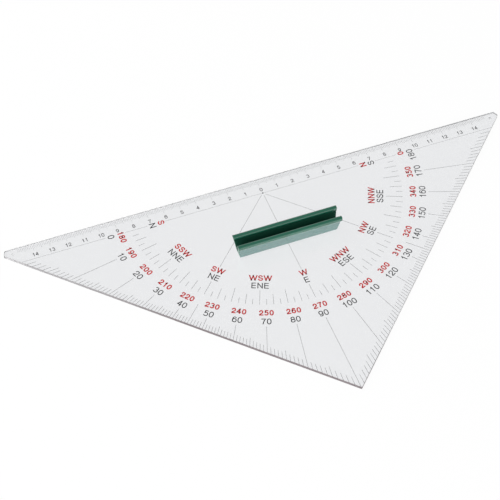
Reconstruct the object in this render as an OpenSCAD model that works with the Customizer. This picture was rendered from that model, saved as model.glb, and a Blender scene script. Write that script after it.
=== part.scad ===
// Nautical protractor: a clear right-angled plate with a removable carrying handle.
// The origin is the centre of the degree scale, on the underside of the plate.
// +X runs along the long straight edge, +Y towards that edge, +Z up.
// Scale angles are counted from the -X end of the base line, through the
// right-angled corner at 90 degrees, to the +X end at 180 degrees.

/* [Plate] */
// Half of the long straight edge, measured to its sharp end
edge_half = 161; // [158:0.5:170]
// From the base line to the long straight edge
base_to_edge = 10.5; // [9:0.5:12]
// Thickness of the clear plate
plate_t = 2; // [1.8:0.1:3]
// How much is cut off each acute tip, measured along the middle line of the tip
tip_cut = 4.3; // [3:0.1:6]
// Radius of the two corners of a cut tip
tip_r = 1; // [0.5:0.1:1.5]
// Radius of the right-angled corner
corner_r = 0.6; // [0.4:0.1:0.8]

/* [Handle] */
// Length of the handle where it stands on the plate
foot_length = 60.6; // [52:0.2:66]
// Width of the handle where it stands on the plate
foot_width = 6.3; // [6:0.1:6.6]
// Width over the outer faces of the two wings, just under the lips
wing_width = 9.2; // [8.8:0.1:9.6]
// Height of the handle above the plate
handle_h = 12; // [11:0.5:14]
// Diameter of the rounded lips along the tops of the wings
lip_d = 3.2; // [2.8:0.1:3.4]
// Distance between the centre lines of the two lips
lip_spacing = 8.5; // [8.2:0.1:8.8]
// Radius of the hollow that leads from a wing into its lip
lip_fillet = 0.9; // [0.6:0.1:1.2]
// How far the end faces lean outwards, in degrees
end_lean = 9.5; // [4:0.5:10]
// Radius of the bottom of the groove between the wings
groove_r = 0.8; // [0.5:0.1:1]
// From the base line to the middle of the handle
handle_offset = 38.9; // [34:0.1:44]
// Diameter of the pegs that hold the handle
peg_d = 4; // [3:0.1:4.4]
// Distance between the two pegs
peg_spacing = 44; // [30:1:44]

/* [Scales] */
// Depth of the inked grooves in the underside
ink_depth = 0.06; // [0.04:0.02:0.2]
// Width of a degree or compass mark
mark_w = 0.14; // [0.08:0.02:0.24]
// Width of the lines at 45, 90 and 135 degrees
line_w = 0.12; // [0.08:0.02:0.2]
// Width of the base line
base_w = 0.08; // [0.06:0.02:0.16]
// Width of a millimetre mark
fine_w = 0.08; // [0.06:0.02:0.16]
// Reach of a one-degree mark from the leg of the plate
degree_reach = 4.7; // [3:0.1:5.2]
// Reach of a five-degree mark from the leg of the plate
five_reach = 6.2; // [5.4:0.1:7]
// Radius at which the ten-degree lines begin, outside the numerals
ten_start_r = 98.6; // [98:0.1:101]
// Radius of the outer ends of the compass marks
compass_r = 83.1; // [80:0.1:85]
// Diameter of the dot at the centre of the scales
centre_d = 0.9; // [0.6:0.1:1.4]

/* [Hidden] */

clear_grey = [0.86, 0.88, 0.9, 0.45];
ink = [0.13, 0.13, 0.14];
handle_green = [0.07, 0.3, 0.2];

// Marks stop short of the plate's edge by this much
edge_gap = 0.4;

// Height of the right-angled corner, and the base line's run from the centre to a leg
corner_y = base_to_edge - edge_half;
leg_run = edge_half - base_to_edge;

// The centres of a cut tip's two corners: how far they lie along the tip's middle line,
// counted from its sharp end, and how far to either side of it
tip_along = tip_cut + tip_r;
tip_across = tip_along * tan(22.5) - tip_r / cos(22.5);

// Dimples left by the mould near the acute tips; each is a shallow cap of a ball
dimple_d = 1.6;
dimple_depth = 0.3;
dimple_ball = (dimple_d * dimple_d / 4 + dimple_depth * dimple_depth) / (2 * dimple_depth);
dimple_x = edge_half - 8.6;
dimple_y = base_to_edge - 3.3;

// Section of the handle; heights are counted from the top of the plate
foot_half = foot_width / 2;
lip_r = lip_d / 2;
lip_z = handle_h - lip_r;
wing_lean = (wing_width / 2 - foot_half) / (lip_z - 1.6);
wing_dir = [wing_lean, 1] / norm([wing_lean, 1]);
wing_out = [wing_dir[1], -wing_dir[0]];
foot_corner = [foot_half, 0];
lip_centre = [lip_spacing / 2, lip_z];

// The hollow under a lip touches the wing's outer face and the lip
hollow_start = foot_corner + lip_fillet * wing_out - lip_centre;
hollow_along = hollow_start * wing_dir;
hollow_reach = -hollow_along
    - sqrt(hollow_along * hollow_along - hollow_start * hollow_start
           + pow(lip_fillet + lip_r, 2));
hollow_foot = foot_corner + hollow_reach * wing_dir;
hollow_centre = hollow_foot + lip_fillet * wing_out;

// The groove between the wings opens at this angle to the upright, from this height
groove_angle = 21;
groove_apex = 1.6;
groove_top = handle_h + 1;
groove_round_z = groove_apex + groove_r / sin(groove_angle);

// A peg runs in its hole with this gap all round and stops above the underside
peg_gap = 0.05;
peg_stop = 0.2;

// Angle between two compass marks
compass_step = 360 / 128;

// Distance from the centre, at a scale angle, to the line that lies reach inside a leg
function leg_r(angle, reach) =
    (leg_run - reach * sqrt(2)) / (abs(cos(angle)) + sin(angle));

// A point near an acute tip: along its middle line from the sharp end, and across that line
function tip_point(side, along, across) = [
    side * (edge_half - along * cos(22.5) - across * sin(22.5)),
    base_to_edge - along * sin(22.5) + across * cos(22.5)
];

// The outline round a cut tip without its two arcs, from the long straight edge to the leg
function tip_outline(side) = [
    [tip_point(side, tip_along, tip_across)[0], base_to_edge],
    tip_point(side, tip_cut, tip_across),
    tip_point(side, tip_cut, -tip_across),
    tip_point(side, tip_along, -tip_across) + tip_r * sqrt(0.5) * [side, -1]
];

// Inner end of a compass mark: the plainer the direction, the longer its mark
function compass_start(i) =
    compass_r - (i % 4 == 0 ? 10 : i % 2 == 0 ? 7.2 : 3.8);

// How far a mark of the centimetre scale reaches from the edge
function rule_reach(mm) = mm % 10 == 0 ? 4.6 : mm % 5 == 0 ? 3.7 : 2.9;

// A groove along a ray of the scale; under is how far it is cut below the underside
module ray_mark(angle, from_r, to_r, width, under) {
    rotate([0, 0, 180 + angle])
        translate([from_r, -width / 2, -under])
            cube([to_r - from_r, width, ink_depth + under]);
}

// Degree marks along both legs; every tenth degree has a line in from the edge
module degree_set(under) {
    for (angle = [1:179]) {
        if (angle % 10 == 0)
            ray_mark(angle, ten_start_r, leg_r(angle, edge_gap), mark_w, under);
        else if (angle % 5 == 0 && angle % 45 != 0)
            ray_mark(angle, leg_r(angle, five_reach), leg_r(angle, edge_gap), mark_w, under);
        else if (angle % 5 != 0)
            ray_mark(angle, leg_r(angle, degree_reach), leg_r(angle, edge_gap), mark_w, under);
    }
}

// The compass scale: a quarter of the space between two named directions per mark
module compass_set(under) {
    for (i = [1:63])
        ray_mark(i * compass_step, compass_start(i), compass_r, mark_w, under);
}

// Millimetres along the long straight edge, counted both ways from the middle
module millimetre_set(under) {
    last_mm = floor(edge_half - 12);
    for (mm = [-last_mm:last_mm])
        translate([mm - fine_w / 2, base_to_edge - rule_reach(abs(mm)), -under])
            cube([fine_w, rule_reach(abs(mm)) - edge_gap, ink_depth + under]);
}

// The base line, broken round its labels, the lines at 45, 90 and 135 degrees,
// and the dot at the centre
module guide_set(under) {
    for (side = [0, 180]) {
        ray_mark(side, 72.6, 86.3, base_w, under);
        ray_mark(side, 98.3, leg_r(0, edge_gap), base_w, under);
    }
    for (angle = [45, 90, 135])
        ray_mark(angle, 1.8, 61.5, line_w, under);
    for (angle = [45, 135])
        ray_mark(angle, 91.1, leg_r(angle, edge_gap), mark_w, under);
    union() {
        translate([-61.8, -base_w / 2, -under])
            cube([2 * 61.8, base_w, ink_depth + under]);
        translate([0, 0, -under])
            cylinder(d = centre_d, h = ink_depth + under, $fn = 48);
    }
}

// Outline of the plate: a right-angled triangle with cut tips and rounded corners
module plate_outline() {
    lean = sqrt(0.5);
    polygon(concat(
        tip_outline(-1),
        [
            [-corner_r * lean, corner_y + corner_r * lean],
            [corner_r * lean, corner_y + corner_r * lean]
        ],
        [for (i = [3:-1:0]) tip_outline(1)[i]]
    ));
    for (side = [-1, 1])
        for (across = [-tip_across, tip_across])
            translate(tip_point(side, tip_along, across))
                circle(r = tip_r, $fn = 64);
    translate([0, corner_y + corner_r * sqrt(2)])
        circle(r = corner_r, $fn = 64);
}

// Places its children at the two pegs
module at_pegs() {
    for (side = [-1, 1])
        translate([side * peg_spacing / 2, -handle_offset, 0])
            children();
}

module plate() {
    color(clear_grey)
        difference() {
            linear_extrude(height = plate_t)
                plate_outline();
            at_pegs()
                translate([0, 0, -1])
                    cylinder(d = peg_d + 2 * peg_gap, h = plate_t + 2, $fn = 64);
            for (side = [-1, 1])
                translate([side * dimple_x, dimple_y, dimple_depth - dimple_ball])
                    sphere(r = dimple_ball, $fn = 96);
            degree_set(1);
            compass_set(1);
            millimetre_set(1);
            guide_set(1);
        }
}

// Section across the two wings, without the lips
module wing_section() {
    half_groove = (groove_top - groove_apex) * tan(groove_angle);
    difference() {
        polygon([
            [-foot_half, 0], [foot_half, 0], hollow_foot, hollow_centre, lip_centre,
            [-lip_centre[0], lip_centre[1]], [-hollow_centre[0], hollow_centre[1]],
            [-hollow_foot[0], hollow_foot[1]]
        ]);
        for (side = [-1, 1])
            translate([side * hollow_centre[0], hollow_centre[1]])
                circle(r = lip_fillet, $fn = 64);
        polygon([
            [groove_r * cos(groove_angle), groove_round_z - groove_r * sin(groove_angle)],
            [half_groove, groove_top], [-half_groove, groove_top],
            [-groove_r * cos(groove_angle), groove_round_z - groove_r * sin(groove_angle)]
        ]);
        translate([0, groove_round_z])
            circle(r = groove_r, $fn = 64);
    }
}

// Section across the handle: the two wings and the round lip on each
module handle_section() {
    wing_section();
    for (side = [-1, 1])
        translate([side * lip_centre[0], lip_centre[1]])
            circle(r = lip_r, $fn = 96);
}

// Side view that cuts the two ends of the handle to their lean
module end_cut() {
    half = foot_length / 2;
    run = handle_h * tan(end_lean);
    rotate([90, 0, 0])
        linear_extrude(height = 2 * handle_h, center = true)
            polygon([[-half, 0], [half, 0], [half + run, handle_h], [-half - run, handle_h]]);
}

module handle() {
    color(handle_green)
        union() {
            translate([0, -handle_offset, plate_t])
                intersection() {
                    rotate([90, 0, 90])
                        linear_extrude(height = foot_length + handle_h, center = true)
                            handle_section();
                    end_cut();
                }
            at_pegs()
                translate([0, 0, peg_stop])
                    cylinder(d = peg_d, h = plate_t + 1, $fn = 64);
        }
}

module degree_marks() {
    color(ink)
        degree_set(0);
}

module compass_marks() {
    color(ink)
        compass_set(0);
}

module millimetre_marks() {
    color(ink)
        millimetre_set(0);
}

module guide_lines() {
    color(ink)
        guide_set(0);
}

plate();
handle();
degree_marks();
compass_marks();
millimetre_marks();
guide_lines();
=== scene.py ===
# %% [markdown]
# # A clear nautical protractor with a green carrying handle
#
# The object is a right-angled triangle of clear plastic that lies flat on a chart. Its scales are
# printed on the underside, so that the marks touch the paper, and a dark green handle with two
# leaning wings stands in the middle. This lesson builds its looks in five steps: the camera and the
# light, the plate, the ink, the numerals, and the handle.
#
# The frame comes first. It is the finished construction of the object, and nothing in it may move.

# %% Load the frame
import math

import bmesh
import bpy
import numpy as np
from mathutils import Matrix, Vector
from mathutils.geometry import delaunay_2d_cdt


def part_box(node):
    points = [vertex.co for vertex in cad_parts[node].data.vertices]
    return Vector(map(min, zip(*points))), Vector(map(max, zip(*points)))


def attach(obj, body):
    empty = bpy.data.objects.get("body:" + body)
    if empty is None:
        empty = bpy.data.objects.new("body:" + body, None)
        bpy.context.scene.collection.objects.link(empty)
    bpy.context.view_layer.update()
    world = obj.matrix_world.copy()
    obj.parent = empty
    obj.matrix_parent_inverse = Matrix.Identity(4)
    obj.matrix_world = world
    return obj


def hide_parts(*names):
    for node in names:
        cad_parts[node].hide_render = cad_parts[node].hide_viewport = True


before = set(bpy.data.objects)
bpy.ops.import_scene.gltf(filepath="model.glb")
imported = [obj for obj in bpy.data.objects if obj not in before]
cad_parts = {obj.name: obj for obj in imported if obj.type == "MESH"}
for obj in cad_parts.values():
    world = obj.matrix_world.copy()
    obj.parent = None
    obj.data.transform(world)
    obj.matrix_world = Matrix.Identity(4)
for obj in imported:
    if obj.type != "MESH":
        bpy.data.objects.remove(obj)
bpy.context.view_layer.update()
MM = 0.001
print("frame loaded:", sorted(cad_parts))

# %% [markdown]
# ## The sizes
#
# All lengths on the object are in millimetres and become metres only when a mesh or a material is
# made. The camera, the lamps and the ground are placed in metres. The origin is the centre of the
# degree scale on the underside of the plate. +X runs along the long straight edge, +Y towards it,
# and +Z up. The few sizes that the pieces share are read from the frame's own boxes or stated once
# here. The long edge would reach EDGE_HALF to either side if its two tips weren't cut off.

# %% Shared sizes
plate_high = np.array(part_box("plate")[1]) / MM
PLATE_T = plate_high[2]
EDGE_Y = plate_high[1]
EDGE_HALF = 161.0
TIP_CUT = 4.3
TIP_R = 1.0
TIP_HALF_ANGLE = math.radians(22.5)
CORNER_R = 0.6
HANDLE_Y = -38.9
PEG_X = 22.0
print("plate thickness %.2f mm, long edge at y = %.2f mm" % (PLATE_T, EDGE_Y))

# %% [markdown]
# ## The camera
#
# The photograph was taken from the side of the right-angled corner, about 50 degrees above the
# ground, with a long lens, which is why the far tip hardly shrinks. The camera is placed by its
# position and by the three directions of its own axes. A matrix holds them as columns: right, up,
# and back, because a camera looks along its own -Z.

# %% Camera
CAMERA_PLACE = (-0.2818, -0.6920, 0.8776)
camera_data = bpy.data.cameras.new("photo_camera")
camera_data.sensor_width = 36.0
camera_data.lens = 139.5
camera_data.clip_start = 0.05
camera_data.clip_end = 20.0
camera = bpy.data.objects.new("photo_camera", camera_data)
bpy.context.scene.collection.objects.link(camera)
bpy.context.scene.camera = camera

look = Vector((0.2305, 0.5819, -0.7799)).normalized()
right = Vector((0.9335, -0.3583, 0.0085)).normalized()
up = right.cross(look).normalized()
right = look.cross(up).normalized()
axes = Matrix((right, up, -look)).transposed()
camera.matrix_world = Matrix.Translation(CAMERA_PLACE) @ axes.to_4x4()
print("camera lens %.1f mm" % camera_data.lens)

# %% [markdown]
# ## Helpers for materials
#
# Each finish is a small tree of nodes. The first helper clears a new material and hands back its
# tree, the second adds a node with its settings, and the third leads a shader to the surface. With
# them each finish can be read from top to bottom.

# %% Material helpers
def new_finish(name):
    """A new material with an empty node tree; gives back the material, its nodes and its links."""
    finish = bpy.data.materials.new(name)
    finish.use_nodes = True
    finish.node_tree.nodes.clear()
    return finish, finish.node_tree.nodes, finish.node_tree.links


def add(nodes, kind, **settings):
    """A node of this kind. A name with a capital sets an input, with an underscore for a space.
    Other names set the node itself and come first, because they choose which inputs it has."""
    node = nodes.new(kind)
    for name, value in settings.items():
        if name[0].isupper():
            node.inputs[name.replace("_", " ")].default_value = value
        else:
            setattr(node, name, value)
    return node


def show(shader, nodes, links):
    """Leads this shader to the surface of its material."""
    out = nodes.new("ShaderNodeOutputMaterial")
    links.new(shader.outputs[0], out.inputs["Surface"])


# %% [markdown]
# ## The ground and the light
#
# The photograph shows the object on plain white. The ground is a wide white plane that glows
# steadily, like a light table, which keeps the background clean. A tenth of it is an ordinary lit
# surface, so the object's shadow stays on it.

# %% Ground
def flat_ground(half, z):
    """A square in the plane z: the four corners at plus and minus half."""
    mesh = bpy.data.meshes.new("ground")
    mesh.from_pydata([(-half, -half, z), (half, -half, z), (half, half, z), (-half, half, z)],
                     [], [(0, 1, 2, 3)])
    ground = bpy.data.objects.new("ground", mesh)
    bpy.context.scene.collection.objects.link(ground)
    return ground


ground = flat_ground(half=6.0, z=-0.0002)
ground_white, nodes, links = new_finish("ground_white")
paper = add(nodes, "ShaderNodeBsdfDiffuse", Color=(0.9, 0.9, 0.9, 1))
glow = add(nodes, "ShaderNodeEmission", Color=(1, 1, 1, 1), Strength=1.035)
mixed = add(nodes, "ShaderNodeMixShader", Fac=0.90)
links.new(paper.outputs[0], mixed.inputs[1])
links.new(glow.outputs[0], mixed.inputs[2])
show(mixed, nodes, links)
ground.data.materials.append(ground_white)
print("ground: %.0f m wide" % ground.dimensions.x)

# %% [markdown]
# The light comes from a sky that is bright all round, most of all at the camera's side, and dim
# overhead, as in a white room with a dark ceiling. Two factors make its strength: one falls with
# the height of a direction, and the other falls with its Y, from the front of the room to the back.

# %% Sky
world = bpy.data.worlds.new("studio")
bpy.context.scene.world = world
world.use_nodes = True
nodes, links = world.node_tree.nodes, world.node_tree.links
nodes.clear()
direction = nodes.new("ShaderNodeTexCoord")
heading = nodes.new("ShaderNodeSeparateXYZ")
links.new(direction.outputs["Generated"], heading.inputs[0])
ceiling = add(nodes, "ShaderNodeMapRange", From_Min=0.3, From_Max=0.62, To_Min=1.0, To_Max=0.2)
links.new(heading.outputs["Z"], ceiling.inputs["Value"])
room = add(nodes, "ShaderNodeMapRange", From_Min=-0.6, From_Max=0.6, To_Min=1.15, To_Max=0.82)
links.new(heading.outputs["Y"], room.inputs["Value"])
light = add(nodes, "ShaderNodeMath", operation="MULTIPLY")
links.new(ceiling.outputs[0], light.inputs[0])
links.new(room.outputs[0], light.inputs[1])
sky = add(nodes, "ShaderNodeBackground", Color=(1, 1, 1, 1))
links.new(light.outputs[0], sky.inputs["Strength"])
out = nodes.new("ShaderNodeOutputWorld")
links.new(sky.outputs[0], out.inputs["Surface"])
bpy.context.scene.view_settings.view_transform = "Standard"
print("sky: %d nodes" % len(nodes))

# %% [markdown]
# Two broad soft lamps help the sky. One above and behind the left tip lights the print and the tops
# of the handle's lips, but not its groove. The other, at the front left, lights the fronts of the
# lips and the upper part of the groove. Both are large for their power: from some sides the plate
# mirrors them, and a small strong lamp would be a white patch there that hides the print.

# %% Lamps
def soft_lamp(name, place, target, size, power):
    """A square lamp of this size in metres at a place, turned to face a target."""
    lamp_data = bpy.data.lights.new(name, "AREA")
    lamp_data.size = size
    lamp_data.energy = power
    lamp = bpy.data.objects.new(name, lamp_data)
    bpy.context.scene.collection.objects.link(lamp)
    lamp.location = place
    lamp.rotation_mode = "QUATERNION"
    lamp.rotation_quaternion = (Vector(target) - Vector(place)).to_track_quat("-Z", "Y")
    print("%s: %.1f m wide, %.1f W" % (name, size, power))


PLATE_MIDDLE = (0, -0.05, 0)
soft_lamp("top_lamp", (-0.9, 0.7, 1.5), PLATE_MIDDLE, size=1.6, power=11.4)
soft_lamp("side_lamp", (-0.95, -1.05, 0.95), PLATE_MIDDLE, size=1.5, power=10)

# %% [markdown]
# ## Turning arrays into meshes
#
# Every new piece is worked out as whole arrays of points and faces. A piece may be made of several
# parts, each a pair of arrays. The helpers join such parts, and put the result into a mesh object
# that sits at the origin, with its place in its points.

# %% Grids and joined parts
def grid_faces(rows, columns, closed):
    """Faces of a grid of points, row after row; closed joins the last column to the first."""
    row = columns * np.arange(rows - 1)[:, None]
    here = np.arange(columns if closed else columns - 1)[None, :]
    after = (here + 1) % columns
    corners = [row + here, row + after, row + columns + after, row + columns + here]
    return np.stack(corners, -1).reshape(-1, 4)


def join(parts):
    """Joins (points, faces) pairs into one pair; faces are lists, because they differ in length."""
    points, faces, start = [], [], 0
    for part_points, part_faces in parts:
        points.append(np.asarray(part_points, float))
        faces.extend((np.asarray(face) + start).tolist() for face in part_faces)
        start += len(part_points)
    return np.vstack(points), faces


# %% From arrays to an object
def merge_doubles(mesh, distance):
    """Points closer than the distance become one, and the faces are turned to point outwards."""
    work = bmesh.new()
    work.from_mesh(mesh)
    bmesh.ops.remove_doubles(work, verts=work.verts, dist=distance)
    bmesh.ops.recalc_face_normals(work, faces=work.faces)
    work.to_mesh(mesh)
    work.free()


def make_piece(name, points, faces, smooth_below=None, merge=0.0005):
    """A mesh object from points in millimetres. Points closer than merge become one. Where two
    faces meet at less than smooth_below degrees the surface is shaded as one curve."""
    mesh = bpy.data.meshes.new(name)
    mesh.from_pydata((np.asarray(points) * MM).tolist(), [], faces)
    piece = bpy.data.objects.new(name, mesh)
    bpy.context.scene.collection.objects.link(piece)
    if merge:
        merge_doubles(mesh, merge * MM)
    if smooth_below is not None:
        mesh.polygons.foreach_set("use_smooth", np.ones(len(mesh.polygons), bool))
        mesh.set_sharp_from_angle(angle=math.radians(smooth_below))
    mesh.update()
    print("%s: %d points, %d faces" % (name, len(mesh.vertices), len(mesh.polygons)))
    return piece


# %% [markdown]
# ## The plate
#
# The real plate is cut from clear sheet, 2 mm thick. Its edges are straight, and a fine round
# breaks them at the top and the bottom, which draws thin bright and dark lines along them. The two
# acute tips are cut off square to their middle lines. The outline is a closed path: straight runs
# with an arc at each corner.

# %% Outline of the plate
def arc_points(centre, radius, start, end, count):
    """Points on a circle, from one angle to another in degrees."""
    a = np.radians(np.linspace(start, end, count))
    return np.stack([centre[0] + radius * np.cos(a), centre[1] + radius * np.sin(a)], 1)


def tip_corners():
    """Centres of the two corners of the cut tip at +X. Both lie the cut plus the corner's radius
    along the tip's middle line, and equally far to either side of it."""
    along = TIP_CUT + TIP_R
    across = along * math.tan(TIP_HALF_ANGLE) - TIP_R / math.cos(TIP_HALF_ANGLE)
    inwards = np.array([math.cos(TIP_HALF_ANGLE), math.sin(TIP_HALF_ANGLE)])
    middle = np.array([EDGE_HALF, EDGE_Y]) - along * inwards
    side = across * np.array([math.sin(TIP_HALF_ANGLE), -math.cos(TIP_HALF_ANGLE)])
    return middle + side, middle - side


def plate_outline(inset):
    """The closed outline, moved inwards by inset: each corner keeps its centre, and its arc
    shrinks."""
    lower, upper = tip_corners()
    flip = np.array([-1, 1])
    corner = (0.0, EDGE_Y - EDGE_HALF + CORNER_R * math.sqrt(2))
    return np.vstack([
        arc_points(lower, TIP_R - inset, -45, 22.5, 10),
        arc_points(upper, TIP_R - inset, 22.5, 90, 10),
        arc_points(upper * flip, TIP_R - inset, 90, 157.5, 10),
        arc_points(lower * flip, TIP_R - inset, 157.5, 225, 10),
        arc_points(corner, CORNER_R - inset, 225, 315, 13)])


print("outline: %d points, %.1f mm over the tips" % (
    len(plate_outline(0.0)), np.ptp(plate_outline(0.0)[:, 0])))

# %% [markdown]
# The edge is a profile carried along that path. The two flat faces are then filled in, with round
# openings for the handle's pegs, whose walls are the same profile carried round a circle. The
# underside also has two small dimples near the tips, which show as soft grey dots.

# %% Edge, faces and dimples
def round_profile(height, radius, steps):
    """Inset and height of an upright edge whose top and bottom are rounded, from top to bottom."""
    a = np.linspace(0, math.pi / 2, steps)
    top = np.stack([radius * (1 - np.sin(a)), height - radius * (1 - np.cos(a))], 1)
    return np.vstack([top, np.stack([top[::-1, 0], height - top[::-1, 1]], 1)])


def carried(outline_at, profile):
    """Carries a profile of (inset, height) rows along an outline given as a function of inset."""
    rows = [np.column_stack([outline_at(inset), np.full(len(outline_at(0.0)), z)])
            for inset, z in profile]
    return np.vstack(rows), grid_faces(len(rows), len(rows[0]), True)


def filled(loops, z):
    """A flat face at height z between an outer loop and round inner loops. The points are joined
    into triangles that respect every loop. Those whose middle is nearer to an inner loop's centre
    than its own points are dropped."""
    edges, start = [], 0
    for loop in loops:
        count = len(loop)
        edges += [(start + i, start + (i + 1) % count) for i in range(count)]
        start += count
    inside_only, closeness = 1, 1e-6
    flat, _, faces, *_ = delaunay_2d_cdt([Vector(point) for point in np.vstack(loops)], edges, [],
                                         inside_only, closeness)
    flat = np.array([tuple(point) for point in flat])
    faces = np.array([face for face in faces if len(face) == 3])
    middle = flat[faces].mean(1)
    keep = np.ones(len(faces), bool)
    for loop in loops[1:]:
        centre = loop.mean(0)
        radius = np.hypot(*(loop[0] - centre))
        keep &= np.hypot(*(middle - centre).T) > 0.999 * radius
    return np.column_stack([flat, np.full(len(flat), z)]), faces[keep]


def circle_at(x, y, radius, count=48):
    """A closed circle of points."""
    return arc_points((x, y), radius, 0, 360 * (1 - 1 / count), count)


def dimple(x, y, radius, depth, rings=6, count=32):
    """A shallow bowl pressed up into the underside: a cap of a ball, ring by ring to its top. The
    ball's radius is (radius^2 + depth^2) / (2 depth)."""
    ball = (radius ** 2 + depth ** 2) / (2 * depth)
    reach = np.linspace(1, 0, rings) * math.asin(radius / ball)
    rows = [np.column_stack([circle_at(x, y, ball * math.sin(a), count),
                             np.full(count, ball * math.cos(a) - ball + depth)]) for a in reach]
    return np.vstack(rows), grid_faces(rings, count, True)


# %% The clear plate
EDGE_ROUND = 0.15
HOLE_R = 2.05
DIMPLE_R = 0.8
DIMPLE_DEPTH = 0.3
DIMPLE_X = EDGE_HALF - 8.6
DIMPLE_Y = EDGE_Y - 3.3
pegs = [(-PEG_X, HANDLE_Y), (PEG_X, HANDLE_Y)]
dimples = [(-DIMPLE_X, DIMPLE_Y), (DIMPLE_X, DIMPLE_Y)]
edge_profile = round_profile(PLATE_T, EDGE_ROUND, 5)
rim = plate_outline(EDGE_ROUND)
openings = [circle_at(*peg, HOLE_R + EDGE_ROUND) for peg in pegs]
bowls = [circle_at(*spot, DIMPLE_R, 32) for spot in dimples]
plate_parts = [
    carried(plate_outline, edge_profile),
    filled([rim] + openings, PLATE_T),
    filled([rim] + openings + bowls, 0.0)]
for peg in pegs:
    plate_parts.append(carried(lambda inset, p=peg: circle_at(*p, HOLE_R + inset), edge_profile))
for spot in dimples:
    plate_parts.append(dimple(*spot, DIMPLE_R, DIMPLE_DEPTH))
clear_plate = make_piece("clear_plate", *join(plate_parts), smooth_below=30)
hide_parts("plate")
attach(clear_plate, "plate")

# %% [markdown]
# ## Clear plastic and its milled edges
#
# Clear acrylic bends light as it enters and leaves, so the print below looks raised. A Principled
# shader with full transmission does this. For shadow rays it becomes plain transparency, so that
# the ground and the ink under it are lit without noise.

# %% Clear plastic finish
ACRYLIC_IOR = 1.49
clear_acrylic, nodes, links = new_finish("clear_acrylic")
glass = add(nodes, "ShaderNodeBsdfPrincipled", Base_Color=(0.875, 0.882, 0.895, 1), Roughness=0.0,
            IOR=ACRYLIC_IOR, Transmission_Weight=1.0)
lit_through = add(nodes, "ShaderNodeBsdfTransparent", Color=(0.96, 0.965, 0.97, 1))
path = nodes.new("ShaderNodeLightPath")
either = nodes.new("ShaderNodeMixShader")
links.new(path.outputs["Is Shadow Ray"], either.inputs["Fac"])
links.new(glass.outputs[0], either.inputs[1])
links.new(lit_through.outputs[0], either.inputs[2])
show(either, nodes, links)
clear_plate.data.materials.append(clear_acrylic)
print("clear finish: %d nodes" % len(nodes))

# %% [markdown]
# The upright faces, which are the edges and the walls of the peg holes, were cut by a mill and
# never polished. Fine marks of the tool scatter the light there, which makes them grey. About half
# of the light still passes into the sheet. The light and shade along each edge are painted into its
# colour: in the photograph the grey changes along each edge, with how much plastic lies behind it
# and what it faces, so the painted tone follows X through a few stops. The long edge and the cut
# tips, which are seen from inside through the sheet, have painted stops of their own, with painted
# shade at the -X tip. The walls of the two dimples are dull and pale, a little darker towards +X.

# %% Milled edge finish
def milled_finish(name, stops):
    """Rough grey plastic. Its tone runs along X through the stops, which are pairs of an x in
    millimetres and a colour; along the edges these are painted light and shade. The marks of the
    tool let it wander a tenth either way."""
    finish, nodes, links = new_finish(name)
    place = nodes.new("ShaderNodeTexCoord")
    upright_marks = add(nodes, "ShaderNodeMapping", Scale=(1.0, 1.0, 0.15))
    links.new(place.outputs["Object"], upright_marks.inputs["Vector"])
    tool_marks = add(nodes, "ShaderNodeTexNoise", Scale=1200.0, Detail=3.0, Roughness=0.6)
    links.new(upright_marks.outputs[0], tool_marks.inputs["Vector"])
    wander = add(nodes, "ShaderNodeMapRange", To_Min=0.8, To_Max=1.2)
    links.new(tool_marks.outputs["Fac"], wander.inputs["Value"])
    across = nodes.new("ShaderNodeSeparateXYZ")
    links.new(place.outputs["Object"], across.inputs[0])
    along = add(nodes, "ShaderNodeMapRange", From_Min=-EDGE_HALF * MM, From_Max=EDGE_HALF * MM)
    links.new(across.outputs["X"], along.inputs["Value"])
    tone = nodes.new("ShaderNodeValToRGB")
    ramp = tone.color_ramp.elements
    while len(ramp) < len(stops):
        ramp.new(0.5)
    for element, (x, colour) in zip(ramp, stops):
        element.position = (x + EDGE_HALF) / (2 * EDGE_HALF)
        element.color = (*colour, 1)
    links.new(along.outputs[0], tone.inputs["Fac"])
    uneven = add(nodes, "ShaderNodeVectorMath", operation="SCALE")
    links.new(tone.outputs["Color"], uneven.inputs[0])
    links.new(wander.outputs[0], uneven.inputs["Scale"])
    surface = add(nodes, "ShaderNodeBsdfPrincipled", Roughness=0.35, IOR=ACRYLIC_IOR,
                  Transmission_Weight=0.5)
    links.new(uneven.outputs[0], surface.inputs["Base Color"])
    show(surface, nodes, links)
    return finish


# The stops of the legs and the long edge are painted light and shade along X.
LEG_PAINTED_SHADE_STOPS = [
    (-130, (0.72, 0.70, 0.715)), (-75, (0.37, 0.31, 0.325)), (-5, (0.41, 0.34, 0.36)),
    (15, (0.27, 0.255, 0.26)), (40, (0.66, 0.645, 0.65)), (100, (0.70, 0.685, 0.69)),
    (150, (0.66, 0.65, 0.655))]
LONG_EDGE_PAINTED_SHADE_STOPS = [
    (-156.5, (0.08, 0.08, 0.085)), (-155, (0.95, 0.95, 0.955)), (-130, (0.92, 0.92, 0.925)),
    (-65, (0.93, 0.93, 0.935)), (0, (0.74, 0.74, 0.745)), (65, (0.46, 0.46, 0.465)),
    (130, (0.26, 0.26, 0.265))]
DIMPLE_STOPS = [(-150, (0.85, 0.85, 0.855)), (150, (0.75, 0.75, 0.755))]
for name, stops in (("milled_legs_and_painted_shade", LEG_PAINTED_SHADE_STOPS), ("milled_long_edge_and_painted_shade", LONG_EDGE_PAINTED_SHADE_STOPS),
                    ("dull_dimple", DIMPLE_STOPS)):
    clear_plate.data.materials.append(milled_finish(name, stops))
print("finishes of the plate:", [finish.name for finish in clear_plate.data.materials])

# %% [markdown]
# Which finish a face gets follows from its normal and its place. The mill also dulled the fine
# rounds of the legs, while those of the long edge stay clear where they are nearly level. All faces
# but the two large ones are shaded smooth. The large ones stay flat: if they shared their normals
# with the fine rounds beside them, they would bend the light like a lens.

# %% Faces and their finishes on the plate
def face_arrays(piece):
    """Normals and centres of a piece's faces, the centres in millimetres."""
    count = len(piece.data.polygons)
    normals, centres = np.empty((count, 3)), np.empty((count, 3))
    piece.data.polygons.foreach_get("normal", normals.ravel())
    piece.data.polygons.foreach_get("center", centres.ravel())
    return normals, centres / MM


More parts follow.
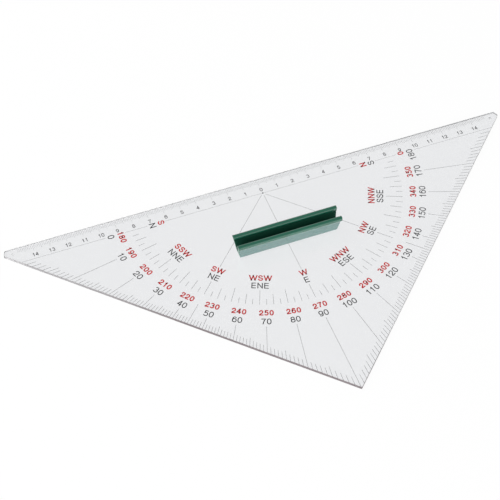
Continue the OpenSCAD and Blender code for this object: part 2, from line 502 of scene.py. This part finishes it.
# Limits of a face's level, which is 1 for a level face and 0 for an upright one
LONG_EDGE_MILLED_BELOW = 0.7
LEGS_MILLED_BELOW = 0.97
LARGE_FACE_FROM = 0.9999
# A face looks along X from this X of its normal, and the cut tips lie beyond this x
FACES_ALONG_X = 0.3
CUT_TIP_X = 155.6

normals, centres = face_arrays(clear_plate)
level = np.abs(normals[:, 2])
at_long_edge = centres[:, 1] > EDGE_Y - EDGE_ROUND
milled = level < np.where(at_long_edge, LONG_EDGE_MILLED_BELOW, LEGS_MILLED_BELOW)
cut_tip = (np.abs(centres[:, 0]) > CUT_TIP_X) & (np.abs(normals[:, 0]) > FACES_ALONG_X)
seen_inside = milled & (at_long_edge | cut_tip)
in_dimple = np.zeros(len(centres), bool)
for spot in dimples:
    off = centres[:, :2] - np.array(spot)
    in_dimple |= (np.hypot(off[:, 0], off[:, 1]) < DIMPLE_R) & (centres[:, 2] < PLATE_T / 4)
finish_of_face = np.select([seen_inside, in_dimple, milled], [2, 3, 1], 0)
clear_plate.data.polygons.foreach_set("material_index", finish_of_face)
clear_plate.data.polygons.foreach_set("use_smooth", level < LARGE_FACE_FROM)
print("faces of the plate with each finish:", np.bincount(finish_of_face))

# %% [markdown]
# ## Ink
#
# The marks are printed in dull black and red. Real ink is slightly uneven: it is a little thinner
# in places. A noise on the object's own coordinates lets the tone wander a few percent. The ring
# scales are also paler towards their +X end, in the photograph by about a fifth. That paleness is
# a painted reflection of the brighter light that the plate mirrors on that side: the ring inks
# shift to a paler colour there. The centimetre scale and the guide lines stay dark all along.

# %% Ink finish
# Where along +X the ring inks turn paler: a painted reflection
PAINTED_REFLECTION_FROM = 30.0
PAINTED_REFLECTION_FULL = 100.0


def ink_finish(name, dark, pale, painted_reflection=None):
    """Dull ink whose tone wanders between two close colours. Where a paler colour is given, the
    tone shifts to it along +X between the two limits above, as a painted reflection."""
    ink, nodes, links = new_finish(name)
    place = nodes.new("ShaderNodeTexCoord")
    patches = add(nodes, "ShaderNodeTexNoise", Scale=900.0, Detail=3.0, Roughness=0.6)
    links.new(place.outputs["Object"], patches.inputs["Vector"])
    tone = add(nodes, "ShaderNodeMix", data_type="RGBA", A=dark, B=pale)
    links.new(patches.outputs["Fac"], tone.inputs["Factor"])
    # The paler tone along +X is a painted reflection
    if painted_reflection:
        across = nodes.new("ShaderNodeSeparateXYZ")
        links.new(place.outputs["Object"], across.inputs[0])
        share = add(nodes, "ShaderNodeMapRange", From_Min=PAINTED_REFLECTION_FROM * MM, From_Max=PAINTED_REFLECTION_FULL * MM)
        links.new(across.outputs["X"], share.inputs["Value"])
        paler = add(nodes, "ShaderNodeMix", data_type="RGBA", B=painted_reflection)
        links.new(share.outputs[0], paler.inputs["Factor"])
        links.new(tone.outputs["Result"], paler.inputs["A"])
        tone = paler
    surface = add(nodes, "ShaderNodeBsdfPrincipled", Roughness=0.6, Specular_IOR_Level=0.2)
    links.new(tone.outputs["Result"], surface.inputs["Base Color"])
    show(surface, nodes, links)
    return ink


BLACK = ((0.004, 0.004, 0.005, 1), (0.014, 0.014, 0.016, 1))
RED = ((0.67, 0.035, 0.035, 1), (0.75, 0.05, 0.05, 1))
black_ink = ink_finish("black_ink", *BLACK)
# The ring inks turn paler towards +X: a painted reflection.
ring_black_ink = ink_finish("ring_black_ink", *BLACK, painted_reflection=(0.085, 0.085, 0.09, 1))
ring_red_ink = ink_finish("ring_red_ink", *RED, painted_reflection=(0.76, 0.085, 0.085, 1))
for node_name, ink in (("degree_marks", ring_black_ink), ("compass_marks", ring_black_ink),
                       ("millimetre_marks", black_ink), ("guide_lines", black_ink)):
    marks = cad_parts[node_name].data
    marks.materials.clear()
    marks.materials.append(ink)
    print("%s: printed in %s" % (node_name, ink.name))

# %% [markdown]
# ## Numerals and letters
#
# The scales are numbered in a plain upright face without serifs, black in regular strokes and red
# in bold ones. Each character is a few strokes, and each stroke is a centre line with a width. The
# centre lines live in a box from 0 to 1 across and 0 to 1 up, so that one drawing serves both
# weights: the box is fitted inside the character's outer size, less the stroke's own width.

# %% Kinds of stroke
def bow(cx, cy, rx, ry, start, end, count=13):
    """Points on a slightly squared oval, from one angle to another in degrees: the cosine and the
    sine are raised to a power just below one, with their signs kept."""
    a = np.radians(np.linspace(start, end, count))
    c, s = np.cos(a), np.sin(a)
    squareness = 0.88
    return np.stack([cx + rx * np.sign(c) * np.abs(c) ** squareness,
                     cy + ry * np.sign(s) * np.abs(s) ** squareness], 1)


def bend(*points, count=9):
    """Cubic curves end to end: a start point, then two handles and an end point for each curve."""
    p = np.array(points, float)
    t = np.linspace(0, 1, count)[:, None]
    runs = [(1 - t) ** 3 * p[i] + 3 * (1 - t) ** 2 * t * p[i + 1]
            + 3 * (1 - t) * t ** 2 * p[i + 2] + t ** 3 * p[i + 3] for i in range(0, len(p) - 1, 3)]
    return np.vstack([runs[0]] + [run[1:] for run in runs[1:]])


def bar(*points):
    """A straight stroke with square ends that reach half a stroke past its end points."""
    return ("bar", np.array(points, float))


def slant(*points):
    """A leaning stroke that is cut level at both ends."""
    return ("slant", np.array(points, float))


def curve(points):
    """A curved stroke with plain ends."""
    return ("curve", points)


# %% Centre lines of the characters
six = [curve(bow(0.5, 0.325, 0.5, 0.325, 0, 360, 25)),
       curve(bend((0.94, 0.80), (0.88, 0.95), (0.72, 1.0), (0.54, 1.0), (0.14, 1.0), (0.0, 0.72),
                  (0.0, 0.34)))]
STROKES = {
    "0": [curve(bow(0.5, 0.5, 0.5, 0.5, 0, 360, 29))],
    "1": [bar((0.62, 0), (0.62, 1)),
          curve(bend((0.66, 1.0), (0.58, 0.84), (0.42, 0.775), (0.14, 0.765)))],
    "2": [curve(np.vstack([bow(0.49, 0.70, 0.47, 0.30, 188, -28, 17),
                           bend((0.89, 0.53), (0.76, 0.36), (0.06, 0.30), (0.0, 0.0))])),
          bar((0, 0), (1, 0))],
    "3": [curve(bow(0.48, 0.755, 0.42, 0.245, 168, -90, 17)),
          curve(bow(0.48, 0.265, 0.52, 0.265, 90, -168, 17))],
    "4": [bar((0.74, 0), (0.74, 1)), slant((0.70, 1.0), (0.0, 0.28)), bar((0, 0.28), (1, 0.28))],
    "5": [bar((0.22, 1), (0.92, 1)), curve(np.array([(0.2, 1.03), (0.1, 0.50)])),
          curve(bow(0.47, 0.325, 0.53, 0.325, 138, -160, 19))],
    "6": six,
    "7": [bar((0, 1), (1, 1)),
          curve(bend((0.98, 1.0), (0.72, 0.74), (0.40, 0.40), (0.33, -0.06)))],
    "8": [curve(bow(0.5, 0.76, 0.43, 0.24, 0, 360, 25)),
          curve(bow(0.5, 0.265, 0.5, 0.265, 0, 360, 25))],
    "9": [(kind, 1 - line) for kind, line in six],
    "N": [bar((0, 0), (0, 1)), slant((0, 1), (1, 0)), bar((1, 0), (1, 1))],
    "E": [bar((0, 0), (0, 1)), bar((0, 0), (1, 0)), bar((0, 0.52), (0.93, 0.52)),
          bar((0, 1), (0.97, 1))],
    "S": [curve(bend((0.92, 0.72), (0.90, 0.91), (0.74, 1.0), (0.50, 1.0), (0.24, 1.0),
                     (0.06, 0.90), (0.06, 0.745), (0.06, 0.60), (0.25, 0.555), (0.50, 0.515),
                     (0.78, 0.465), (1.0, 0.42), (1.0, 0.265), (1.0, 0.10), (0.80, 0.0),
                     (0.52, 0.0), (0.22, 0.0), (0.02, 0.10), (0.0, 0.30)))],
    "W": [slant((0, 1), (0.25, 0)), slant((0.25, 0), (0.5, 1)), slant((0.5, 1), (0.75, 0)),
          slant((0.75, 0), (1, 1))],
}
# Outer width of each character and the step to the next one, for a height of 1
WIDTHS = dict.fromkeys("0123456789", (0.66, 0.775)) | {
    "N": (0.76, 0.965), "E": (0.66, 0.86), "S": (0.74, 0.86), "W": (1.22, 1.24)}
print("%d characters drawn" % len(STROKES))

# %% [markdown]
# A centre line becomes a ribbon: at each point the two sides lie half a width away, along the
# line's own normal. The ribbon then gets a thickness, so that each stroke is a thin closed slab
# of ink. It lies just inside the plate, a fiftieth of a millimetre above the underside.

# %% From centre line to slab
def ribbon(kind, line, width):
    """Left and right side of a stroke. The normal at a point is the mean of those of its two
    segments, lengthened at a bend so that the width stays the same."""
    if kind == "slant":
        run, rise = line[1] - line[0]
        side = np.array([width / 2 * math.hypot(run, rise) / abs(rise), 0.0])
        low, high = (line[0], line[1]) if rise > 0 else (line[1], line[0])
        along = (high - low) / abs(rise) * width / 2
        ends = np.array([low - along, high + along])
        return ends - side, ends + side
    steps = np.diff(line, axis=0)
    steps /= np.linalg.norm(steps, axis=1)[:, None]
    if kind == "bar":
        line = line + np.array([-steps[0], steps[-1]]) * width / 2
    closed = np.allclose(line[0], line[-1])
    before = np.vstack([steps[-1:] if closed else steps[:1], steps])
    after = np.vstack([steps, steps[:1] if closed else steps[-1:]])
    mean = before + after
    normal = np.stack([-mean[:, 1], mean[:, 0]], 1)
    normal *= (2 / (mean ** 2).sum(1))[:, None]
    return line - normal * width / 2, line + normal * width / 2


def slab(left, right, low, high):
    """A closed slab between two side lines: the four long edges form a grid round the stroke, and
    the two ends are closed with one face each."""
    n = len(left)
    rim = [np.column_stack([side, np.full(n, z)])
           for side, z in ((left, high), (right, high), (right, low), (left, low))]
    points = np.stack(rim, 1).reshape(-1, 3)
    faces = grid_faces(n, 4, True)
    ends = np.array([[3, 2, 1, 0], [4 * n - 4, 4 * n - 3, 4 * n - 2, 4 * n - 1]])
    return points, np.vstack([faces, ends])


# %% Words
INK_LOW = 0.02
INK_HIGH = 0.05


def label(text, height, stroke):
    """The slabs of a word, centred on the origin, with its top towards +Y."""
    total = sum(WIDTHS[c][1] for c in text) * height
    at, parts = -total / 2, []
    for c in text:
        outer, step = (w * height for w in WIDTHS[c])
        for kind, line in STROKES[c]:
            spot = np.array([at + (step - outer) / 2 + stroke / 2, -height / 2 + stroke / 2])
            line = spot + line * np.array([outer - stroke, height - stroke])
            parts.append(slab(*ribbon(kind, line, stroke), INK_LOW, INK_HIGH))
        at += step
    return join(parts)


def placed(part, centre, upward):
    """Turns a word so that its top points along upward, an angle in degrees from +X, and moves
    it."""
    points, faces = part
    a = math.radians(upward - 90)
    turn = np.array([[math.cos(a), math.sin(a)], [-math.sin(a), math.cos(a)]])
    flat = points[:, :2] @ turn + np.asarray(centre)
    return np.column_stack([flat, points[:, 2]]), faces


# %% [markdown]
# ## Laying out the scales
#
# A scale angle runs from 0 at the -X end through the right-angled corner to 180 at the +X end. The
# words face outwards from the centre, with their tops towards it. At the two ends of the base line
# they are moved down a little, so that the line stays clear. Red was printed in a second pass that
# lies about a fifth of a millimetre off.

# %% Words on the rings
RED_NUMBERS = [str(n) for n in range(180, 360, 10)] + ["0"]
BLACK_NUMBERS = [str(n) for n in range(0, 190, 10)]
RED_POINTS = ["S", "SSW", "SW", "WSW", "W", "WNW", "NW", "NNW", "N"]
BLACK_POINTS = ["N", "NNE", "NE", "ENE", "E", "ESE", "SE", "SSE", "S"]
RED_SHIFT = (0.2, 0.2)


def on_ring(words, radius, height, stroke, ends, pass_shift=(0.0, 0.0)):
    """Words at even angles on a ring. Ends gives how far the first and last sit below the line,
    and pass_shift how far this colour was printed beside its true place."""
    parts = []
    for i, word in enumerate(words):
        angle = 180 * i / (len(words) - 1)
        a = math.radians(angle)
        centre = np.array([-radius * math.cos(a), -radius * math.sin(a)])
        if i in (0, len(words) - 1):
            centre[1] -= ends[0 if i == 0 else 1]
        centre += pass_shift
        parts.append(placed(label(word, height, stroke), centre, angle))
    return join(parts)


def printed(name, part, ink):
    """Makes a printed piece, gives it its ink and lets it go with the plate."""
    piece = make_piece(name, *part, merge=0)
    piece.data.materials.append(ink)
    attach(piece, "plate")


# %% Printed numerals and letters
printed("red_degree_numerals", on_ring(
    RED_NUMBERS, radius=89.2, height=3.8, stroke=0.74, ends=(2.7, 0.0), pass_shift=RED_SHIFT),
    ring_red_ink)
printed("black_degree_numerals", on_ring(
    BLACK_NUMBERS, radius=95.05, height=4.0, stroke=0.53, ends=(0.3, 3.1)),
    ring_black_ink)
printed("red_compass_letters", on_ring(
    RED_POINTS, radius=64.3, height=4.0, stroke=0.71, ends=(0.4, 0.5), pass_shift=RED_SHIFT),
    ring_red_ink)
printed("black_compass_letters", on_ring(
    BLACK_POINTS, radius=69.55, height=4.0, stroke=0.52, ends=(0.65, 0.65)),
    ring_black_ink)

CENTIMETRE = 10.0
CENTIMETRE_TEXT_Y = 2.9
centimetres = [placed(label(str(abs(n)), height=2.6, stroke=0.35),
                      (CENTIMETRE * n, CENTIMETRE_TEXT_Y), 90) for n in range(-14, 15)]
printed("centimetre_numerals", join(centimetres), black_ink)

# %% [markdown]
# ## The handle
#
# The handle is one moulded bar: a foot, two wings that lean away from each other with a V groove
# between them, and a round lip along the top of each wing, which the fingers catch. A hollow leads
# from each wing into its lip. The section is one closed loop of points. It is carried along X, its
# two ends lean outwards, and their edges are rounded: towards each end the loop shrinks a little
# while it moves the last fifth of a millimetre.
#
# In the section, Y is measured from the handle's middle and Z from the plate's upper face. The
# outer face of a wing leans from FOOT_HALF at the foot to WING_HALF, which is measured UNDER_LIP
# below the middle of the lip.

# %% Sizes of the handle
FOOT_HALF = 3.15
FOOT_LEN = 30.3
WING_HALF = 4.6
UNDER_LIP = 1.6
HANDLE_H = 12.0
LIP_R = 1.6
LIP_Z = HANDLE_H - LIP_R
LIP_Y = 4.25
HOLLOW_R = 0.9
END_LEAN = math.tan(math.radians(9.5))
END_ROUND = 0.2
GROOVE_ANGLE = math.radians(21)
GROOVE_APEX = 1.6
GROOVE_R = 0.8
print("lips: %.1f mm apart, %.1f mm over both" % (2 * LIP_Y, 2 * (LIP_Y + LIP_R)))

# %% Section of the handle
def way_to_circle(point, along, centre, radius):
    """How far a line from a point, along a unit direction, runs until it first meets a circle. With
    g from the circle's centre to the point and b = g . along, it is -b - sqrt(b^2 - g.g + r^2)."""
    gap = point - centre
    return -(gap @ along) - math.sqrt((gap @ along) ** 2 - gap @ gap + radius ** 2)


def angle_round(centre, point):
    """The angle in degrees at which a point lies round a centre."""
    return math.degrees(math.atan2(point[1] - centre[1], point[0] - centre[0]))


def handle_section():
    """One closed loop: groove bottom, up the inside of the right wing, round its lip, round the
    hollow, down the outside, and across the foot; then the same mirrored. The hollow's circle
    touches the wing's outer face and the lip, which fixes its centre; the inner face meets the lip
    where its distance from the lip's centre equals the lip's radius."""
    foot, lip = np.array([FOOT_HALF, 0.0]), np.array([LIP_Y, LIP_Z])
    lean = (WING_HALF - FOOT_HALF) / (LIP_Z - UNDER_LIP)
    along = np.array([lean, 1.0]) / math.hypot(lean, 1)
    outward = HOLLOW_R * np.array([along[1], -along[0]])
    start = foot + along * way_to_circle(foot + outward, along, lip, HOLLOW_R + LIP_R)
    hollow = start + outward
    inward = np.array([math.sin(GROOVE_ANGLE), math.cos(GROOVE_ANGLE)])
    beside_lip = np.array([(LIP_Z - GROOVE_APEX) * math.tan(GROOVE_ANGLE), LIP_Z])
    meets = beside_lip + inward * way_to_circle(beside_lip, inward, lip, LIP_R)
    hollow_start, hollow_end = angle_round(hollow, start), angle_round(hollow, lip)
    lip_start = angle_round(lip, meets) % 360
    groove_centre = (0, GROOVE_APEX + GROOVE_R / math.sin(GROOVE_ANGLE))
    bottom = arc_points(groove_centre, GROOVE_R, -90, -math.degrees(GROOVE_ANGLE), 9)
    wall = np.linspace(bottom[-1], meets, 8)[1:]
    rim = arc_points(lip, LIP_R, lip_start, hollow_end - 180, 36)[1:]
    cove = arc_points(hollow, HOLLOW_R, hollow_end % 360, hollow_start % 360, 10)[1:]
    outer = np.linspace(start, foot, 8)[1:]
    half = np.vstack([bottom, wall, rim, cove, outer])
    mirrored = half[:0:-1] * np.array([-1, 1])
    return np.vstack([half, mirrored])


section = handle_section()
print("handle section: %d points, %.2f mm wide" % (len(section), np.ptp(section[:, 0])))

# %% Bar and pegs
def shrunk(loop, d):
    """The loop moved inwards by d: each point moves along the mean of its two edges' normals,
    lengthened so that the edges stay parallel to themselves."""
    step = np.roll(loop, -1, 0) - loop
    normal = np.stack([step[:, 1], -step[:, 0]], 1) / np.linalg.norm(step, axis=1)[:, None]
    if (loop[:, 0] * np.roll(loop[:, 1], -1) - loop[:, 1] * np.roll(loop[:, 0], -1)).sum() < 0:
        normal = -normal
    both = normal + np.roll(normal, 1, 0)
    return loop - both * (2 * d / (both ** 2).sum(1))[:, None]


def bar_along(loop, end_round):
    """The loop carried along X. Column by column x is plus or minus half the foot's length plus
    the lean times the height, and at both ends it draws in by a quarter round. One more station
    behind each round keeps the shading of the long faces straight."""
    a = np.linspace(0, math.pi / 2, 5)
    stations = [(-1, end_round * (1 - np.sin(t)), end_round * (1 - np.cos(t))) for t in a]
    stations.append((-1, 0.0, 2 * end_round))
    stations += [(1, inset, back) for _, inset, back in stations[::-1]]
    rows = []
    for side, inset, back in stations:
        ring = shrunk(loop, inset)
        x = side * (FOOT_LEN + ring[:, 1] * END_LEAN - back)
        rows.append(np.column_stack([x, ring[:, 0] + HANDLE_Y, ring[:, 1] + PLATE_T]))
    n = len(loop)
    faces = grid_faces(len(rows), n, True).tolist()
    faces += [list(range(n))[::-1], list(range((len(rows) - 1) * n, len(rows) * n))]
    return np.vstack(rows), faces


def turned(profile, x, y, count):
    """A surface of revolution: rows of (height, radius) turned about an upright axis."""
    a = np.linspace(0, 2 * math.pi, count, endpoint=False)
    height, radius = profile[:, 0][:, None], profile[:, 1][:, None]
    points = np.stack([x + radius * np.cos(a), y + radius * np.sin(a), height + 0 * a], -1)
    return points.reshape(-1, 3), grid_faces(len(profile), count, True)


def peg_profile(radius, stop, rounding):
    """A plain peg from inside the foot down to its stop above the underside, with a rounded rim."""
    rim = arc_points((stop + rounding, radius - rounding), rounding, 180, 90, 5)
    in_foot = PLATE_T + 1
    return np.vstack([[stop, 0.0], rim, [in_foot, radius], [in_foot, 0.0]])


# %% The green handle
peg = peg_profile(radius=2.0, stop=0.2, rounding=0.3)
handle_parts = [bar_along(section, END_ROUND)]
for side in (-1, 1):
    handle_parts.append(turned(peg, side * PEG_X, HANDLE_Y, 48))
green_handle = make_piece("green_handle", *join(handle_parts), smooth_below=32)
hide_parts("handle")
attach(green_handle, "handle")

# %% [markdown]
# ## Green gloss plastic
#
# The handle is moulded in dark bottle green. Its lips have a plain gloss. The flat outer faces are
# polished brighter and reflect the white ground below them almost like a mirror; their colour is
# also painted lighter and cooler than the lips', a painted sheen. The two ends were cut and are
# duller. The groove is dull, and its colour is painted darker than the lips', as painted shade in
# the recess. All four finishes share one recipe: under the gloss the colour varies a little where
# the plastic flowed, and the surface has a very fine unevenness.

# %% Green plastic finishes
def green_finish(name, shades, roughness, coat, coat_ior, shine=0.5, ripple=0.05):
    """Green plastic that wanders between two shades, with this roughness and shine, a clear gloss
    of this weight and strength over it, and ripples of this strength in its surface."""
    finish, nodes, links = new_finish(name)
    place = nodes.new("ShaderNodeTexCoord")
    flow = add(nodes, "ShaderNodeTexNoise", Scale=60.0, Detail=4.0, Roughness=0.55)
    links.new(place.outputs["Object"], flow.inputs["Vector"])
    shade = add(nodes, "ShaderNodeMix", data_type="RGBA", A=(*shades[0], 1), B=(*shades[1], 1))
    links.new(flow.outputs["Fac"], shade.inputs["Factor"])
    fine = add(nodes, "ShaderNodeTexNoise", Scale=700.0, Detail=2.0)
    links.new(place.outputs["Object"], fine.inputs["Vector"])
    uneven = add(nodes, "ShaderNodeBump", Strength=ripple, Distance=0.2 * MM)
    links.new(fine.outputs["Fac"], uneven.inputs["Height"])
    surface = add(nodes, "ShaderNodeBsdfPrincipled", Roughness=roughness, IOR=1.55,
                  Specular_IOR_Level=shine, Coat_Weight=coat, Coat_Roughness=0.01,
                  Coat_IOR=coat_ior)
    links.new(shade.outputs["Result"], surface.inputs["Base Color"])
    links.new(uneven.outputs[0], surface.inputs["Normal"])
    show(surface, nodes, links)
    return finish


BOTTLE_GREEN = ((0.012, 0.134, 0.080), (0.017, 0.167, 0.103))
# The outer faces' colour, lighter and cooler than bottle green, is a painted sheen.
PAINTED_SHEEN_GREEN = ((0.013, 0.165, 0.140), (0.018, 0.200, 0.172))
# The groove's colour, darker than bottle green, is painted shade in the recess.
GROOVE_PAINTED_SHADE_GREEN = ((0.008, 0.062, 0.037), (0.011, 0.079, 0.049))
for finish in (
        green_finish("green_gloss", BOTTLE_GREEN, roughness=0.10, coat=1.0, coat_ior=1.75),
        # The outer faces: mirror gloss over a painted sheen
        green_finish("green_mirror_and_painted_sheen", PAINTED_SHEEN_GREEN, roughness=0.06, coat=1.0, coat_ior=2.3,
                     ripple=0.02),
        green_finish("green_cut_end", BOTTLE_GREEN, roughness=0.38, coat=0.3, coat_ior=1.5),
        # The groove: painted shade
        green_finish("green_groove_painted_shade", GROOVE_PAINTED_SHADE_GREEN, roughness=0.6, coat=0.0, coat_ior=1.5,
                     shine=0.08)):
    green_handle.data.materials.append(finish)
print("finishes of the handle:", [finish.name for finish in green_handle.data.materials])

# %% [markdown]
# Which finish a face gets follows from its normal and its place. The ends face along X. The outer
# faces are nearly upright, face along Y and a little down, and lie outside the foot's edge and
# under the lips. The groove's faces lie between the lips' middles and below them.

# %% Faces and their finishes on the handle
normals, centres = face_arrays(green_handle)
off_y = np.abs(centres[:, 1] - HANDLE_Y)
height = centres[:, 2] - PLATE_T
at_end = np.abs(normals[:, 0]) > FACES_ALONG_X
leans_out = (np.abs(normals[:, 1]) > 0.9) & (normals[:, 2] < -0.05)
# The outer faces take the painted sheen.
outer = leans_out & (off_y > FOOT_HALF) & (height < LIP_Z - LIP_R + 0.2)
# The groove's faces take the painted shade.
inner = (off_y < LIP_Y) & (height < LIP_Z)
finish_of_face = np.select([at_end, outer, inner], [2, 1, 3], 0)
green_handle.data.polygons.foreach_set("material_index", finish_of_face)
print("faces of the handle with each finish:", np.bincount(finish_of_face))
